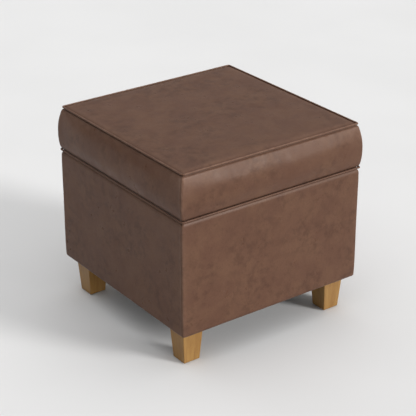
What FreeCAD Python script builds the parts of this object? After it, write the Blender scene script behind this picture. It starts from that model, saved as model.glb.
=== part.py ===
import FreeCAD, Part
import Sketcher
import math
import os

# Storage ottoman: a leather-covered box on four tapered legs, with an upholstered
# seat that lifts off.  Millimetres, +Z up, origin on the floor under the centre.
# The front faces -Y.  Most pieces are square rings or blocks about the Z axis, so
# they are described by a half width and two heights.

os.makedirs("parts", exist_ok=True)
doc = FreeCAD.newDocument("ottoman")


# ---------------------------------------------------------------- driving sizes

SIZES = [
    ("leather", 1.2, "thickness of the leather"),
    ("lining", 0.6, "thickness of the lining cloth"),
    ("base_half", 237.5, "half width over the leather of the base"),
    ("base_low", 83.0, "underside of the base's leather"),
    ("base_high", 350.0, "rim of the base"),
    ("base_edge", 8.0, "radius of the base's rounded edges"),
    ("padding", 8.0, "thickness of the padding on the panels"),
    ("panel", 12.0, "thickness of the plywood panels"),
    ("floor_board", 9.0, "thickness of the bottom board"),
    ("cleat", 20.0, "width and height of a cleat"),
    ("leg_block", 75.0, "side of a corner leg block"),
    ("rim_return", 28.0, "how far the leather turns down inside the rim"),
    ("return_half", 202.0, "inner edge of the leather turned under the base"),
    ("dust_cover_half", 224.0, "half width of the dust cover"),
    ("leg_across", 195.8, "leg axis, left and right of the centre"),
    ("leg_along", 189.0, "leg axis, in front of and behind the centre"),
    ("leg_top_half", 26.2, "half width of a leg at its top"),
    ("leg_foot_half", 20.5, "half width of a leg at its foot"),
    ("leg_corner", 1.6, "radius on a leg's four long edges"),
    ("glide_radius", 11.0, "radius of a nail-on glide"),
    ("glide_thick", 2.0, "thickness of a nail-on glide"),
    ("nail_radius", 1.3, "radius of a glide's nail"),
    ("nail_long", 14.0, "length of a glide's nail in the leg"),
    ("bolt_radius", 4.0, "radius of the M8 hanger bolt"),
    ("bolt_long", 57.2, "length of the hanger bolt"),
    ("bolt_hole_radius", 4.6, "radius of the clearance hole for the bolt"),
    ("t_nut_flange_radius", 11.0, "radius of a T-nut's flange"),
    ("t_nut_flange", 1.5, "thickness of a T-nut's flange"),
    ("t_nut_barrel_radius", 5.4, "outer radius of a T-nut's barrel"),
    ("t_nut_long", 10.0, "length of a T-nut over its flange"),
    ("lid_gap", 0.3, "gap between the rim and the lid"),
    ("lid_board", 12.0, "thickness of the lid board"),
    ("lid_wall_half", 234.1, "half width over the leather at the board's edge"),
    ("lid_step", 5.6, "height of the straight wall behind the lower welt"),
    ("boxing_low_half", 236.6, "half width of the boxing just above the lower welt"),
    ("boxing_mid_half", 241.0, "half width of the boxing at its fullest"),
    ("boxing_top_half", 232.5, "half width of the boxing at its top seam"),
    ("boxing_mid", 398.0, "height at which the boxing is fullest"),
    ("boxing_high", 451.6, "height of the boxing's top seam"),
    ("boxing_corner", 6.0, "radius of the boxing's upright corners"),
    ("flange_half", 207.0, "inner edge of the leather turned under the lid"),
    ("seam_half", 226.0, "inner edge of the boxing's top seam allowance"),
    ("welt_radius", 3.0, "radius over a welt's leather"),
    ("welt_core_radius", 1.8, "radius of the cord inside a welt"),
    ("welt_corner", 9.0, "radius of a welt's centre line at the corners"),
    ("low_welt_half", 237.2, "half width to the lower welt's centre line"),
    ("top_welt_half", 231.0, "half width to the top welt's centre line"),
    ("top_welt_height", 454.7, "height of the top welt's centre line"),
    ("seat_height", 458.0, "top of the seat"),
    ("top_edge", 5.0, "radius where the top panel rolls down to its seam"),
    ("foam_gap", 0.3, "clearance between the foam and its leather"),
    ("board_gap", 0.2, "clearance between the lid board's edge and its leather"),
    ("welt_gap", 0.1, "clearance between the top panel's seam and the welt"),
    ("strip_out", 212.0, "outer half width of the locating strips"),
    ("strip_in", 194.0, "inner half width of the locating strips"),
    ("strip_high", 20.0, "height of the locating strips"),
    ("screw_radius", 2.0, "radius of a wood screw's shank"),
    ("screw_head_radius", 4.0, "radius of a wood screw's countersunk head"),
    ("screw_head", 2.5, "height of a wood screw's head"),
    ("panel_screw_long", 40.0, "length of the screws at the carcass corners"),
    ("panel_screw_low", 130.0, "height of the lowest carcass screw"),
    ("panel_screw_step", 86.0, "distance from one carcass screw up to the next"),
    ("board_screw_long", 25.0, "length of the screws in the bottom board"),
    ("board_screw_off", 60.0, "bottom board screws from the middle of each side"),
    ("strip_screw_long", 30.0, "length of the screws in the locating strips"),
    ("strip_screw_off", 120.0, "locating strip screws from the middle of each side"),
    ("staple_crown", 10.0, "length of a staple's crown"),
    ("staple_wire", 0.7, "thickness of a staple's wire"),
    ("staple_leg", 7.0, "length of a staple's legs"),
    ("staple_step", 60.0, "distance between the staples of a row"),
    ("cover_staple_line", 219.5, "half width to the staples in the base's leather"),
    ("dust_staple_line", 222.5, "half width to the staples in the dust cover"),
    ("lid_staple_line", 220.0, "half width to the staples under the lid"),
]

sheet = doc.addObject("Spreadsheet::Sheet", "Sizes")
for row, (alias, number, meaning) in enumerate(SIZES, start=1):
    sheet.set(f"A{row}", alias)
    sheet.set(f"B{row}", str(number))
    sheet.setAlias(f"B{row}", alias)
    sheet.set(f"C{row}", meaning)
doc.recompute()


class Size:
    """A length worked out from the sheet: its number and the expression that gives it."""

    def __init__(self, number, text):
        self.number = number
        self.text = text

    @staticmethod
    def of(value):
        if isinstance(value, Size):
            return value
        return Size(float(value), f"({value})")

    def join(self, sign, other, number):
        return Size(number, f"({self.text} {sign} {other.text})")

    def __add__(self, value):
        other = Size.of(value)
        return self.join("+", other, self.number + other.number)

    def __sub__(self, value):
        other = Size.of(value)
        return self.join("-", other, self.number - other.number)

    def __mul__(self, value):
        other = Size.of(value)
        return self.join("*", other, self.number * other.number)

    def __truediv__(self, value):
        other = Size.of(value)
        return self.join("/", other, self.number / other.number)

    def __neg__(self):
        return self * -1


def cell(alias):
    """The Size held in one cell of the sheet."""
    return Size(float(sheet.get(alias)), f"{sheet.Name}.{alias}")


# Sizes that several pieces share, worked out from the driving ones.
LEATHER = cell("leather")
LINING = cell("lining")
BASE_HALF = cell("base_half")
BASE_LOW = cell("base_low")
BASE_HIGH = cell("base_high")
PADDING_OUT = BASE_HALF - LEATHER
PANEL_OUT = PADDING_OUT - cell("padding")
PANEL_IN = PANEL_OUT - cell("panel")
PANEL_LOW = BASE_LOW + LEATHER
PANEL_HIGH = BASE_HIGH - LEATHER
CLEAT_HIGH = PANEL_LOW + cell("cleat")
FLOOR_HIGH = CLEAT_HIGH + cell("floor_board")
BLOCK_IN = PANEL_IN - cell("leg_block")
RETURN_LOW = BASE_HIGH - cell("rim_return")
LEG_HIGH = BASE_LOW - LINING
GLIDE = cell("glide_thick")
LID_LOW = BASE_HIGH + cell("lid_gap")
LID_SKIN_LOW = LID_LOW + LINING
LID_BOARD_LOW = LID_SKIN_LOW + LEATHER
LID_BOARD_HIGH = LID_BOARD_LOW + cell("lid_board")
LID_WALL_HALF = cell("lid_wall_half")
STEP_HIGH = LID_SKIN_LOW + cell("lid_step")
BOXING_HIGH = cell("boxing_high")
WELT_RADIUS = cell("welt_radius")
SEAT_HEIGHT = cell("seat_height")
STRIP_OUT = cell("strip_out")
STRIP_IN = cell("strip_in")
STRIP_LOW = LID_LOW - cell("strip_high")
ZERO = Size.of(0)
PAST = Size.of(10)  # how far a cutting block runs past what it cuts


# ---------------------------------------------------------------- ways of making

def bind(thing, name, size):
    """Drive one property of an object from the sheet."""
    thing.setExpression(name, Size.of(size).text)


def place(thing, across=ZERO, along=ZERO, up=ZERO):
    """Drive an object's position from the sheet."""
    for axis, size in zip("xyz", (across, along, up)):
        bind(thing, f".Placement.Base.{axis}", size)
    return thing


def box(name, across, along, up):
    """A Part box between pairs of Sizes."""
    thing = doc.addObject("Part::Box", name)
    for side, (low, high) in zip(("Length", "Width", "Height"), (across, along, up)):
        bind(thing, side, high - low)
    return place(thing, across[0], along[0], up[0])


def square_box(name, half, low, high):
    """A Part box centred on the Z axis."""
    return box(name, (-half, half), (-half, half), (low, high))


def cylinder(name, radius, low, high):
    """A Part cylinder on the Z axis."""
    thing = doc.addObject("Part::Cylinder", name)
    bind(thing, "Radius", radius)
    bind(thing, "Height", high - low)
    return place(thing, up=low)


def cut(name, base, tool):
    """What is left of one object after another is taken away."""
    thing = doc.addObject("Part::Cut", name)
    thing.Base = base
    thing.Tool = tool
    return thing


def common(name, base, tool):
    """What two objects share."""
    thing = doc.addObject("Part::Common", name)
    thing.Base = base
    thing.Tool = tool
    return thing


def fuse(name, shapes):
    """Several objects joined into one."""
    thing = doc.addObject("Part::MultiFuse", name)
    thing.Shapes = shapes
    return thing


def origin_plane(body, role):
    """One of a body's own origin planes."""
    return next(plane for plane in body.Origin.OriginFeatures if plane.Role == role)


def start_sketch(body, name, height=ZERO):
    """An empty sketch on a body's XY plane, lifted by a height."""
    sketch = body.newObject("Sketcher::SketchObject", name)
    sketch.AttachmentSupport = (origin_plane(body, "XY_Plane"), "")
    sketch.MapMode = "FlatFace"
    bind(sketch, ".AttachmentOffset.Base.z", height)
    return sketch


def dimension(sketch, kind, picks, size):
    """A sketch dimension driven from the sheet."""
    index = sketch.addConstraint(Sketcher.Constraint(kind, *picks, size.number))
    bind(sketch, f"Constraints[{index}]", size)


def draw_rectangle(sketch, length, width):
    """A rectangle with one corner at the sketch's origin."""
    corners = [
        FreeCAD.Vector(0, 0, 0),
        FreeCAD.Vector(length.number, 0, 0),
        FreeCAD.Vector(length.number, width.number, 0),
        FreeCAD.Vector(0, width.number, 0),
    ]
    for side in range(4):
        sketch.addGeometry(Part.LineSegment(corners[side], corners[(side + 1) % 4]), False)
    for side in range(4):
        sketch.addConstraint(Sketcher.Constraint("Coincident", side, 2, (side + 1) % 4, 1))
        direction = "Vertical" if side % 2 else "Horizontal"
        sketch.addConstraint(Sketcher.Constraint(direction, side))
    sketch.addConstraint(Sketcher.Constraint("Coincident", 0, 1, -1, 1))
    dimension(sketch, "DistanceX", (0, 1, 0, 2), length)
    dimension(sketch, "DistanceY", (1, 1, 1, 2), width)


def draw_rounded_square(sketch, half, corner):
    """A square centred on the sketch's origin, with an arc at each corner."""
    reach = half.number
    flat = reach - corner.number
    quarter = math.pi / 2
    for side in range(4):
        turn = FreeCAD.Rotation(FreeCAD.Vector(0, 0, 1), 90 * side)
        start = turn.multVec(FreeCAD.Vector(-flat, -reach, 0))
        end = turn.multVec(FreeCAD.Vector(flat, -reach, 0))
        sketch.addGeometry(Part.LineSegment(start, end), False)
    for side in range(4):
        turn = FreeCAD.Rotation(FreeCAD.Vector(0, 0, 1), 90 * side)
        centre = turn.multVec(FreeCAD.Vector(flat, -flat, 0))
        circle = Part.Circle(centre, FreeCAD.Vector(0, 0, 1), corner.number)
        arc = Part.ArcOfCircle(circle, (side - 1) * quarter, side * quarter)
        sketch.addGeometry(arc, False)
    for side in range(4):
        arc = 4 + side
        sketch.addConstraint(Sketcher.Constraint("Tangent", side, 2, arc, 1))
        sketch.addConstraint(Sketcher.Constraint("Tangent", arc, 2, (side + 1) % 4, 1))
        direction = "Vertical" if side % 2 else "Horizontal"
        sketch.addConstraint(Sketcher.Constraint(direction, side))
        if side:
            sketch.addConstraint(Sketcher.Constraint("Equal", 4, arc))
    sketch.addConstraint(Sketcher.Constraint("Symmetric", 0, 1, 2, 1, -1, 1))
    dimension(sketch, "Radius", (4,), corner)
    dimension(sketch, "DistanceX", (3, 1, 1, 1), half * 2)
    dimension(sketch, "DistanceY", (0, 1, 2, 1), half * 2)


def new_body(name):
    return doc.addObject("PartDesign::Body", name)


def pad_up(body, name, sketch, height):
    """Pad a sketch upwards by a height."""
    pad = body.newObject("PartDesign::Pad", f"{name}_pad")
    pad.Profile = sketch
    bind(pad, "Length", height)
    return pad


def board(name, across, along, up):
    """A sawn board: a padded rectangle, placed by its low corner."""
    body = new_body(name)
    sketch = start_sketch(body, f"{name}_outline")
    draw_rectangle(sketch, across[1] - across[0], along[1] - along[0])
    pad_up(body, name, sketch, up[1] - up[0])
    return place(body, across[0], along[0], up[0])


def rounded_slab(name, half, corner, low, high):
    """An upright prism on the Z axis with rounded corners."""
    body = new_body(name)
    sketch = start_sketch(body, f"{name}_outline")
    draw_rounded_square(sketch, half, corner)
    pad_up(body, name, sketch, high - low)
    return place(body, up=low)


def round_top(body, name, radius):
    """Round the top edges of the body made by rounded_slab."""
    doc.recompute()
    tip = body.Tip
    top = tip.Shape.BoundBox.ZMax
    names = [
        f"Edge{number}"
        for number, edge in enumerate(tip.Shape.Edges, start=1)
        if all(abs(vertex.Point.z - top) < 1e-6 for vertex in edge.Vertexes)
    ]
    rounding = body.newObject("PartDesign::Fillet", f"{name}_rounding")
    rounding.Base = (tip, names)
    bind(rounding, "Radius", radius)
    return body


def soft_block(name, half, low, high, edge):
    """A square block on the Z axis with every edge rounded to one radius."""
    body = new_body(name)
    sketch = start_sketch(body, f"{name}_outline")
    draw_rectangle(sketch, half * 2, half * 2)
    pad = pad_up(body, name, sketch, high - low)
    doc.recompute()
    names = [f"Edge{number}" for number in range(1, len(pad.Shape.Edges) + 1)]
    rounding = body.newObject("PartDesign::Fillet", f"{name}_rounding")
    rounding.Base = (pad, names)
    bind(rounding, "Radius", edge)
    return place(body, -half, -half, low)


def loft(name, sections):
    """A body lofted through rounded squares, each given as (height, half, corner)."""
    body = new_body(name)
    sketches = []
    for number, (height, half, corner) in enumerate(sections):
        sketch = start_sketch(body, f"{name}_section_{number}", height)
        draw_rounded_square(sketch, half, corner)
        sketches.append(sketch)
    skin = body.newObject("PartDesign::AdditiveLoft", f"{name}_loft")
    skin.Profile = sketches[0]
    skin.Sections = sketches[1:]
    return body


def quarter_turned(across, along, turns):
    """A position given as two Sizes, turned about Z by quarter turns."""
    for _ in range(turns):
        across, along = -along, across
    return across, along


def square_tube(name, half, radius, height):
    """A round bar bent into a rounded square on a level plane."""
    corner = cell("welt_corner")
    flat = half - corner
    lying = FreeCAD.Rotation(FreeCAD.Vector(0, 1, 0), 90)
    bars = []
    for side in range(4):
        run = doc.addObject("Part::Cylinder", f"{name}_run_{side}")
        bind(run, "Radius", radius)
        bind(run, "Height", flat * 2)
        run.Placement.Rotation = FreeCAD.Rotation(FreeCAD.Vector(0, 0, 1), 90 * side) * lying
        place(run, *quarter_turned(-flat, -half, side), height)
        bend = doc.addObject("Part::Torus", f"{name}_bend_{side}")
        bind(bend, "Radius1", corner)
        bind(bend, "Radius2", radius)
        bend.Angle3 = 90
        bend.Placement.Rotation = FreeCAD.Rotation(FreeCAD.Vector(0, 0, 1), 90 * (side - 1))
        place(bend, *quarter_turned(flat, -flat, side), height)
        bars += [run, bend]
    return fuse(name, bars)


SIDES = ("front", "right", "back", "left")  # in turn about +Z, from -Y
finished = []


def finish(thing, label):
    """Name a finished sub-part; its label names its file."""
    thing.Label = label
    finished.append(thing)
    return thing


def make_wedges():
    """Four three-cornered prisms about the Z axis, one for each side, meeting on the mitres."""
    reach = BASE_HALF + PAST
    wedges = []
    for number, side in enumerate(SIDES):
        wedge = doc.addObject("Part::Wedge", f"mitre_{side}")
        for name, size in (
            ("Xmin", -reach), ("Xmax", reach), ("X2min", ZERO), ("X2max", ZERO),
            ("Ymin", -reach), ("Ymax", ZERO),
            ("Zmin", ZERO), ("Zmax", SEAT_HEIGHT), ("Z2min", ZERO), ("Z2max", SEAT_HEIGHT),
        ):
            bind(wedge, name, size)
        wedge.Placement.Rotation = FreeCAD.Rotation(FreeCAD.Vector(0, 0, 1), 90 * number)
        wedges.append(wedge)
    return wedges


def mitred(name, whole, wedges):
    """The four mitred quarters of a square ring, one finished sub-part for each side."""
    for side, wedge in zip(SIDES, wedges):
        finish(common(f"{name}_{side}_quarter", whole, wedge), f"{name}_{side}")


def group(name, pattern, places):
    """Identical fasteners as separate solids: copies of a pattern object at each placement."""
    doc.recompute()
    solids = []
    for placement in places:
        solid = pattern.Shape.copy()
        solid.Placement = placement.multiply(solid.Placement)
        solids.append(solid)
    thing = doc.addObject("Part::Feature", name)
    thing.Shape = Part.makeCompound(solids)
    return thing


def screw_pattern(name, length):
    """A countersunk wood screw, its head's face at the origin and its shank along -Z."""
    head = doc.addObject("Part::Cone", f"{name}_head")
    bind(head, "Radius1", cell("screw_radius"))
    bind(head, "Radius2", cell("screw_head_radius"))
    bind(head, "Height", cell("screw_head"))
    place(head, up=-cell("screw_head"))
    shank = cylinder(f"{name}_shank", cell("screw_radius"), -length, -cell("screw_head"))
    return fuse(name, [head, shank])


def staple_pattern():
    """A staple: its crown's face at the origin facing -Z, its legs pointing up."""
    half = cell("staple_crown") / 2
    wire = cell("staple_wire")
    edge = wire / 2
    bars = [box("staple_top", (-half, half), (-edge, edge), (ZERO, wire))]
    for number, (low, high) in enumerate(((-half, wire - half), (half - wire, half))):
        bars.append(box(f"staple_leg_{number}", (low, high), (-edge, edge), (ZERO, cell("staple_leg"))))
    return fuse("staple", bars)


def side_places(half, height, spots, flip=None):
    """Places along all four sides, on a line at one half width."""
    places = []
    for number in range(4):
        turn = FreeCAD.Rotation(FreeCAD.Vector(0, 0, 1), 90 * number)
        for spot in spots:
            middle = turn.multVec(FreeCAD.Vector(spot, -half.number, height.number))
            places.append(FreeCAD.Placement(middle, turn * (flip or FreeCAD.Rotation())))
    return places


def even_spots(count):
    """Evenly spaced staple positions about the middle of a side."""
    step = cell("staple_step").number
    return [(number - (count - 1) / 2) * step for number in range(count)]


def corner_places():
    """The four leg axes, on the floor."""
    across = cell("leg_across").number
    along = cell("leg_along").number
    return [
        FreeCAD.Placement(FreeCAD.Vector(x * across, y * along, 0), FreeCAD.Rotation())
        for y in (-1, 1)
        for x in (-1, 1)
    ]


# ---------------------------------------------------------------- base: fasteners

COVER_STAPLES = 6  # in a row along each side
DUST_STAPLES = 5


def panel_screw_places():
    """Screws through the front and back panels into the ends of the side panels."""
    face = PANEL_OUT.number
    middle = (PANEL_IN + cell("panel") / 2).number
    low = cell("panel_screw_low").number
    step = cell("panel_screw_step").number
    places = []
    for end in (-1, 1):
        turn = FreeCAD.Rotation(FreeCAD.Vector(1, 0, 0), -90 * end)
        for across in (-middle, middle):
            for number in range(3):
                spot = FreeCAD.Vector(across, end * face, low + number * step)
                places.append(FreeCAD.Placement(spot, turn))
    return places


def make_base_fasteners():
    """Screws, staples, T-nuts, hanger bolts and glides, which the wood is then cut to take."""
    staple = staple_pattern()
    cover_places = side_places(cell("cover_staple_line"), BASE_LOW, even_spots(COVER_STAPLES))
    cover_staples = group("cover_staple_group", staple, cover_places)
    dust_low = LEG_HIGH - cell("staple_wire")
    dust_places = side_places(cell("dust_staple_line"), dust_low, even_spots(DUST_STAPLES))
    dust_staples = group("dust_staple_group", staple, dust_places)

    panel_screw = screw_pattern("panel_screw", cell("panel_screw_long"))
    panel_screws = group("panel_screw_group", panel_screw, panel_screw_places())
    board_screw = screw_pattern("board_screw", cell("board_screw_long"))
    off = cell("board_screw_off").number
    board_places = side_places(PANEL_IN - cell("cleat") / 2, FLOOR_HIGH, (-off, off))
    board_screws = group("board_screw_group", board_screw, board_places)

    flange_low = CLEAT_HIGH - cell("t_nut_flange")
    barrel_low = CLEAT_HIGH - cell("t_nut_long")
    flange = cylinder("t_nut_flange", cell("t_nut_flange_radius"), flange_low, CLEAT_HIGH)
    barrel = cylinder("t_nut_barrel", cell("t_nut_barrel_radius"), barrel_low, CLEAT_HIGH)
    bore = cylinder("t_nut_bore", cell("bolt_radius"), barrel_low - PAST, CLEAT_HIGH + PAST)
    t_nut = cut("t_nut", fuse("t_nut_blank", [flange, barrel]), bore)
    t_nuts = group("t_nut_group", t_nut, corner_places())

    bolt_high = CLEAT_HIGH - 1
    bolt = cylinder("bolt", cell("bolt_radius"), bolt_high - cell("bolt_long"), bolt_high)
    bolts = group("bolt_group", bolt, corner_places())
    bolt_hole = cylinder("bolt_hole", cell("bolt_hole_radius"), LEG_HIGH - 1, CLEAT_HIGH + 1)
    bolt_holes = group("bolt_hole_group", bolt_hole, corner_places())

    disc = cylinder("glide_disc", cell("glide_radius"), ZERO, GLIDE)
    nail = cylinder("glide_nail", cell("nail_radius"), GLIDE / 2, GLIDE + cell("nail_long"))
    glide = fuse("glide", [disc, nail])
    glides = group("glide_group", glide, corner_places())

    finish(cover_staples, "cover_staples")
    finish(dust_staples, "dust_cover_staples")
    finish(panel_screws, "panel_screws")
    finish(board_screws, "board_screws")
    finish(t_nuts, "t_nuts")
    finish(bolts, "hanger_bolts")
    finish(glides, "leg_glides")
    return {
        "cover_staples": cover_staples,
        "dust_staples": dust_staples,
        "panel_screws": panel_screws,
        "board_screws": board_screws,
        "t_nuts": t_nuts,
        "bolts": bolts,
        "bolt_holes": bolt_holes,
        "glides": glides,
    }


# ---------------------------------------------------------------- base: wood

def cut_for(piece, label, fasteners):
    """A piece of wood or cloth with exact holes for its fasteners."""
    for number, fastener in enumerate(fasteners):
        piece = cut(f"{label}_hole_{number}", piece, fastener)
    return finish(piece, label)


def make_carcass(fast):
    """Four panels, cleats, leg blocks and the bottom board."""
    upright = (PANEL_LOW, PANEL_HIGH)
    fasteners = [fast["panel_screws"], fast["cover_staples"], fast["dust_staples"]]
    long_run = (-PANEL_OUT, PANEL_OUT)
    short_run = (-PANEL_IN, PANEL_IN)
    near = (-PANEL_OUT, -PANEL_IN)
    far = (PANEL_IN, PANEL_OUT)
    cut_for(board("front_board", long_run, near, upright), "front_panel", fasteners)
    cut_for(board("back_board", long_run, far, upright), "back_panel", fasteners)
    cut_for(board("left_board", near, short_run, upright), "left_panel", fasteners)
    cut_for(board("right_board", far, short_run, upright), "right_panel", fasteners)

    cleat_up = (PANEL_LOW, CLEAT_HIGH)
    cleat_run = (-BLOCK_IN, BLOCK_IN)
    cleat_in = PANEL_IN - cell("cleat")
    near = (-PANEL_IN, -cleat_in)
    far = (cleat_in, PANEL_IN)
    screws = [fast["board_screws"]]
    cut_for(board("front_cleat_bar", cleat_run, near, cleat_up), "cleat_front", screws)
    cut_for(board("back_cleat_bar", cleat_run, far, cleat_up), "cleat_back", screws)
    cut_for(board("left_cleat_bar", near, cleat_run, cleat_up), "cleat_left", screws)
    cut_for(board("right_cleat_bar", far, cleat_run, cleat_up), "cleat_right", screws)

    sides = {"left": (-PANEL_IN, -BLOCK_IN), "right": (BLOCK_IN, PANEL_IN)}
    ends = {"front": (-PANEL_IN, -BLOCK_IN), "back": (BLOCK_IN, PANEL_IN)}
    for end, along in ends.items():
        for side, across in sides.items():
            blank = board(f"{end}_{side}_block", across, along, cleat_up)
            cut_for(blank, f"leg_block_{end}_{side}", [fast["t_nuts"], fast["bolt_holes"]])

    blank = board("floor_blank", short_run, short_run, (CLEAT_HIGH, FLOOR_HIGH))
    cut_for(blank, "bottom_board", screws)


def make_legs(fast):
    """Four square legs, tapered alike on all sides."""
    sections = [
        (GLIDE, cell("leg_foot_half"), cell("leg_corner")),
        (LEG_HIGH, cell("leg_top_half"), cell("leg_corner")),
    ]
    for end, along in (("front", -1), ("back", 1)):
        for side, across in (("left", -1), ("right", 1)):
            leg = loft(f"{end}_{side}_leg", sections)
            place(leg, cell("leg_across") * across, cell("leg_along") * along)
            cut_for(leg, f"leg_{end}_{side}", [fast["bolts"], fast["glides"]])


# ---------------------------------------------------------------- base: upholstery

def make_base_upholstery(fast, wedges):
    """Padding, the sewn leather cover, the well's lining and the dust cover."""
    edge = cell("base_edge")
    padding_block = soft_block("padding_block", PADDING_OUT, PANEL_LOW, PANEL_HIGH, edge - LEATHER)
    panel_core = square_box("panel_core", PANEL_OUT, PANEL_LOW - PAST, PANEL_HIGH + PAST)
    mitred("padding", cut("padding_ring", padding_block, panel_core), wedges)

    skin_block = soft_block("skin_block", BASE_HALF, BASE_LOW, BASE_HIGH, edge)
    filling = soft_block("filling", PADDING_OUT, PANEL_LOW, PANEL_HIGH, edge - LEATHER)
    skin = cut("skin_shell", skin_block, filling)
    mouth = square_box("mouth", PANEL_IN, RETURN_LOW, BASE_HIGH + PAST)
    underside = square_box("underside", cell("return_half"), BASE_LOW - PAST, PANEL_LOW + PAST)
    return_out = square_box("return_out", PANEL_IN, RETURN_LOW, BASE_HIGH)
    return_in = square_box("return_in", PANEL_IN - LEATHER, RETURN_LOW - PAST, BASE_HIGH + PAST)
    rim_return = cut("rim_return_ring", return_out, return_in)
    skin = cut("skin_open_above", skin, mouth)
    skin = cut("skin_open_below", skin, underside)
    skin = fuse("skin_with_return", [skin, rim_return])
    skin = cut("skin_stapled", skin, fast["cover_staples"])
    skin = cut("skin_stapled_twice", skin, fast["dust_staples"])
    mitred("base_cover", skin, wedges)

    lining_in = PANEL_IN - LINING
    well_up = (FLOOR_HIGH + LINING, RETURN_LOW)
    long_run = (-PANEL_IN, PANEL_IN)
    short_run = (-lining_in, lining_in)
    near = (-PANEL_IN, -lining_in)
    far = (lining_in, PANEL_IN)
    finish(box("lining_front_box", long_run, near, well_up), "lining_front")
    finish(box("lining_back_box", long_run, far, well_up), "lining_back")
    finish(box("lining_left_box", near, short_run, well_up), "lining_left")
    finish(box("lining_right_box", far, short_run, well_up), "lining_right")
    finish(square_box("lining_floor_box", PANEL_IN, FLOOR_HIGH, FLOOR_HIGH + LINING), "lining_floor")

    sheet_blank = square_box("dust_sheet", cell("dust_cover_half"), LEG_HIGH, BASE_LOW)
    cut_for(sheet_blank, "dust_cover", [fast["bolt_holes"], fast["dust_staples"]])


# ---------------------------------------------------------------- lid

def make_lid_fasteners():
    """Screws through the locating strips and staples under the boxing."""
    strip_screw = screw_pattern("strip_screw", cell("strip_screw_long"))
    upwards = FreeCAD.Rotation(FreeCAD.Vector(1, 0, 0), 180)
    off = cell("strip_screw_off").number
    places = side_places((STRIP_OUT + STRIP_IN) / 2, STRIP_LOW, (-off, off), upwards)
    strip_screws = group("strip_screw_group", strip_screw, places)

    places = side_places(cell("lid_staple_line"), LID_SKIN_LOW, even_spots(COVER_STAPLES))
    boxing_staples = group("boxing_staple_group", doc.getObject("staple"), places)
    finish(strip_screws, "strip_screws")
    finish(boxing_staples, "boxing_staples")
    return strip_screws, boxing_staples


def boxing_solid(name, inset):
    """The lid's outer shape, drawn in by an inset: a straight wall, then a barrel above it."""
    corner = cell("boxing_corner") - inset
    wall = rounded_slab(
        f"{name}_wall", LID_WALL_HALF - inset, corner, LID_SKIN_LOW + inset, STEP_HIGH + inset + 1
    )
    barrel = loft(
        f"{name}_barrel",
        [
            (STEP_HIGH + inset, cell("boxing_low_half") - inset, corner),
            (cell("boxing_mid"), cell("boxing_mid_half") - inset, corner),
            (BOXING_HIGH - inset, cell("boxing_top_half") - inset, corner),
        ],
    )
    return fuse(name, [wall, barrel])


def make_boxing(boxing_staples, wedges):
    """The leather round the cushion's sides, turned in under the top seam and the board."""
    outer = boxing_solid("boxing_outer", ZERO)
    inner = boxing_solid("boxing_inner", LEATHER)
    shell = cut("boxing_shell", outer, inner)
    above = square_box("boxing_mouth", cell("seam_half"), BOXING_HIGH - PAST, BOXING_HIGH + PAST)
    below = square_box("boxing_underside", cell("flange_half"), LID_LOW - PAST, LID_BOARD_LOW + PAST)
    shell = cut("boxing_open_above", shell, above)
    shell = cut("boxing_open_below", shell, below)
    shell = cut("boxing_stapled", shell, boxing_staples)
    mitred("boxing", shell, wedges)


def make_cushion(strip_screws, boxing_staples):
    """Lid board, foam, fibre pad and the leather top panel."""
    gap = cell("foam_gap")
    corner = cell("boxing_corner") - LEATHER
    board_half = LID_WALL_HALF - LEATHER - cell("board_gap")
    blank = rounded_slab("lid_blank", board_half, corner, LID_BOARD_LOW, LID_BOARD_HIGH)
    cut_for(blank, "lid_board", [strip_screws, boxing_staples])

    foam_high = BOXING_HIGH - LEATHER - gap
    stock = boxing_solid("foam_stock", LEATHER + gap)
    slice_box = square_box("foam_slice", BASE_HALF + PAST, LID_BOARD_HIGH, foam_high)
    finish(common("foam_shape", stock, slice_box), "lid_foam")

    top_half = cell("top_welt_half") - WELT_RADIUS - cell("welt_gap")
    top_corner = cell("welt_corner") - WELT_RADIUS - cell("welt_gap")
    skin_high = SEAT_HEIGHT - LEATHER
    edge = cell("top_edge")
    pad_half = cell("seam_half") - gap * 2
    pad = rounded_slab("fibre_stock", pad_half, corner, foam_high, skin_high)
    finish(round_top(pad, "fibre_stock", edge - LEATHER), "lid_fibre_pad")

    outer = rounded_slab("top_outer", top_half, top_corner, BOXING_HIGH, SEAT_HEIGHT)
    inner = rounded_slab(
        "top_inner", top_half - LEATHER, top_corner - LEATHER, BOXING_HIGH - PAST, skin_high
    )
    round_top(outer, "top_outer", edge)
    round_top(inner, "top_inner", edge - LEATHER)
    finish(cut("top_skin", outer, inner), "lid_top_cover")


def make_welts():
    """Two welts: a leather sleeve round a cord, sewn in at the top and bottom of the boxing."""
    core = cell("welt_core_radius")
    low_height = BASE_HIGH + cell("lid_gap") + WELT_RADIUS
    for label, half, height in (
        ("bottom_welt", cell("low_welt_half"), low_height),
        ("top_welt", cell("top_welt_half"), cell("top_welt_height")),
    ):
        cord = square_tube(f"{label}_core", half, core, height)
        rod = square_tube(f"{label}_rod", half, WELT_RADIUS, height)
        finish(cord, f"{label}_cord")
        finish(cut(f"{label}_sleeve", rod, cord), label)


def make_lid_underside(strip_screws):
    """Lining under the lid, and the four strips that keep the lid in place on the base."""
    blank = square_box("lid_lining_sheet", cell("seam_half"), LID_LOW, LID_SKIN_LOW)
    cut_for(blank, "lid_lining", [strip_screws])
    up = (STRIP_LOW, LID_LOW)
    near = (-STRIP_OUT, -STRIP_IN)
    far = (STRIP_IN, STRIP_OUT)
    long_run = (-STRIP_OUT, STRIP_OUT)
    short_run = (-STRIP_IN, STRIP_IN)
    cut_for(board("front_strip", long_run, near, up), "locating_strip_front", [strip_screws])
    cut_for(board("back_strip", long_run, far, up), "locating_strip_back", [strip_screws])
    cut_for(board("left_strip", near, short_run, up), "locating_strip_left", [strip_screws])
    cut_for(board("right_strip", far, short_run, up), "locating_strip_right", [strip_screws])


# ---------------------------------------------------------------- build and check

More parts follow.
